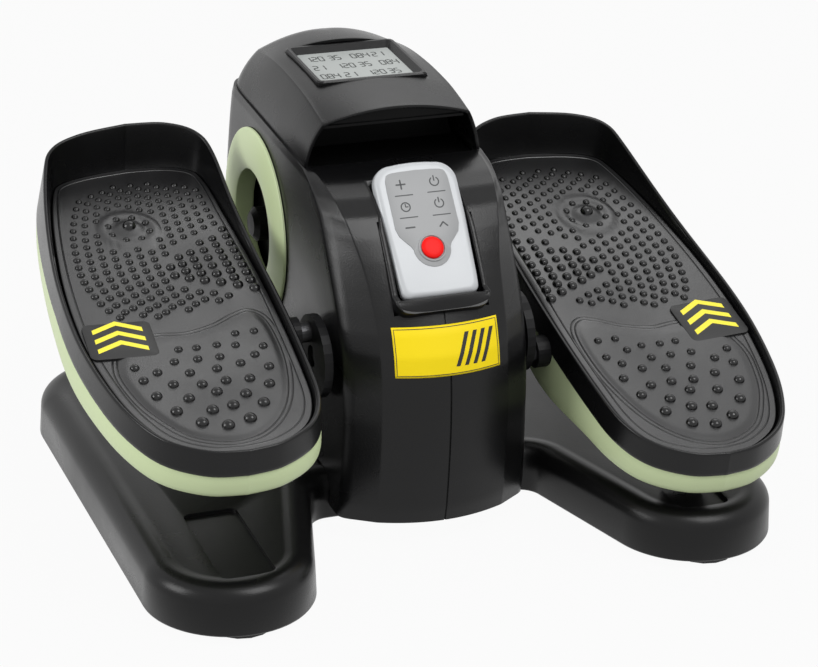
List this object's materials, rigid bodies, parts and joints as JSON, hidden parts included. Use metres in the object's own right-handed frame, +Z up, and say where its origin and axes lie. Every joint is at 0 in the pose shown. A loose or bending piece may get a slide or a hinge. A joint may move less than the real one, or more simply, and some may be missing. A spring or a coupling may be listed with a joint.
{
  "type": "electric mini elliptical",
  "caption": "Motor-driven under-desk leg exerciser: a housing with a screen and a docked remote between two coupled foot pedals on a lobed base.",
  "frame": {"origin": "on the floor, at the middle of the footprint's bounding box", "axes": "+Z up; +X to the seated user's right, across the two pedals; +Y forwards, the way the toes point, so the remote faces -Y"},
  "size_m": [0.513, 0.4564, 0.3086],
  "materials": {
    "black_satin": "satin moulded",
    "black_base": "satin moulded",
    "black_inner": "matt",
    "green": "satin moulded",
    "rubber": "matt",
    "silver": "gloss",
    "grey_film": "satin film",
    "red": "satin",
    "yellow_film": "satin film",
    "screen": "clear window over a grey-green display",
    "steel": "machined",
    "dark_steel": "black coated",
    "belt": "ribbed rubber",
    "board": "circuit board",
    "nylon": "natural nylon"
  },
  "bodies": {
    "frame": {"base_plate": "black_base", "front_left_foot": "rubber", "front_right_foot": "rubber", "rear_left_foot": "rubber", "rear_right_foot": "rubber", "frame_plate": "dark_steel", "left_side_plate": "dark_steel", "right_side_plate": "dark_steel", "left_housing": "black_satin", "right_housing": "black_satin", "console_cover": "black_satin", "grip_pocket": "black_inner", "display_bezel": "black_satin", "display_lens": "screen", "display_board": "board", "left_ring": "green", "right_ring": "green", "remote_cradle": "black_satin", "info_plate": "yellow_film", "left_crank_bearing": "steel", "right_crank_bearing": "steel", "left_wheel_bearing": "steel", "right_wheel_bearing": "steel", "crank_belt": "belt", "motor_belt": "belt", "motor": "steel", "motor_bracket": "dark_steel", "control_board": "board", "power_inlet": "black_inner", "switch_frame": "black_inner"},
    "crank": {"crank_axle": "steel", "crank_pulley": "black_satin", "left_crank_disc": "dark_steel", "right_crank_disc": "dark_steel", "left_crank_pin": "steel", "right_crank_pin": "steel"},
    "left_pedal": {"left_pedal_tray": "black_satin", "left_massage_mat": "rubber", "left_pedal_shell": "green", "left_pivot_tube": "steel", "left_roller_fork": "dark_steel"},
    "right_pedal": {"right_pedal_tray": "black_satin", "right_massage_mat": "rubber", "right_pedal_shell": "green", "right_pivot_tube": "steel", "right_roller_fork": "dark_steel"},
    "left_roller": {"left_heel_roller": "nylon"},
    "right_roller": {"right_heel_roller": "nylon"},
    "wheel": {"wheel_axle": "steel", "drive_wheel": "black_satin", "small_pulley": "steel", "left_hub_cap": "black_inner", "right_hub_cap": "black_inner"},
    "rotor": {"motor_rotor": "steel"},
    "remote": {"remote_face": "silver", "remote_back": "black_satin", "key_film": "grey_film"},
    "button": {"red_button": "red"},
    "rocker": {"power_switch": "red"}
  },
  "joints": [
    {"name": "crank_spin", "type": "hinge", "parent": "frame", "child": "crank", "pos_m": [0, -0.061, 0.1318], "axis": [1, 0, 0], "continuous": true},
    {"name": "left_pedal_hinge", "type": "hinge", "parent": "crank", "child": "left_pedal", "pos_m": [-0.184, -0.05406, 0.1483], "axis": [1, 0, 0], "continuous": true},
    {"name": "right_pedal_hinge", "type": "hinge", "parent": "crank", "child": "right_pedal", "pos_m": [0.184, -0.06794, 0.1153], "axis": [1, 0, 0], "continuous": true},
    {"name": "left_roller_spin", "type": "hinge", "parent": "left_pedal", "child": "left_roller", "pos_m": [-0.173, -0.16231, 0.09517], "axis": [1, 0, 0], "continuous": true},
    {"name": "right_roller_spin", "type": "hinge", "parent": "right_pedal", "child": "right_roller", "pos_m": [0.173, -0.1706, 0.05204], "axis": [1, 0, 0], "continuous": true},
    {"name": "wheel_spin", "type": "hinge", "parent": "frame", "child": "wheel", "pos_m": [0, 0.106, 0.171], "axis": [1, 0, 0], "continuous": true},
    {"name": "rotor_spin", "type": "hinge", "parent": "frame", "child": "rotor", "pos_m": [0, 0.128, 0.084], "axis": [1, 0, 0], "continuous": true},
    {"name": "remote_lift", "type": "slide", "parent": "frame", "child": "remote", "axis": [0, -0.7408, 0.6717], "range_m": [0, 0.05]},
    {"name": "button_press", "type": "slide", "parent": "remote", "child": "button", "axis": [0, 0.7408, -0.6717], "range_m": [0, 0.001], "stiffness_N_per_m": 400, "springref_m": -0.0005},
    {"name": "power_rocker", "type": "hinge", "parent": "frame", "child": "rocker", "pos_m": [-0.024, 0.2045, 0.074], "axis": [1, 0, 0], "range_deg": [0, 16]}
  ],
  "couplings": [
    {"joint": "left_pedal_hinge", "follows": "crank_spin", "ratio": -1},
    {"joint": "right_pedal_hinge", "follows": "crank_spin", "ratio": -1},
    {"joint": "wheel_spin", "follows": "crank_spin", "ratio": 3},
    {"joint": "rotor_spin", "follows": "crank_spin", "ratio": 16.5}
  ]
}
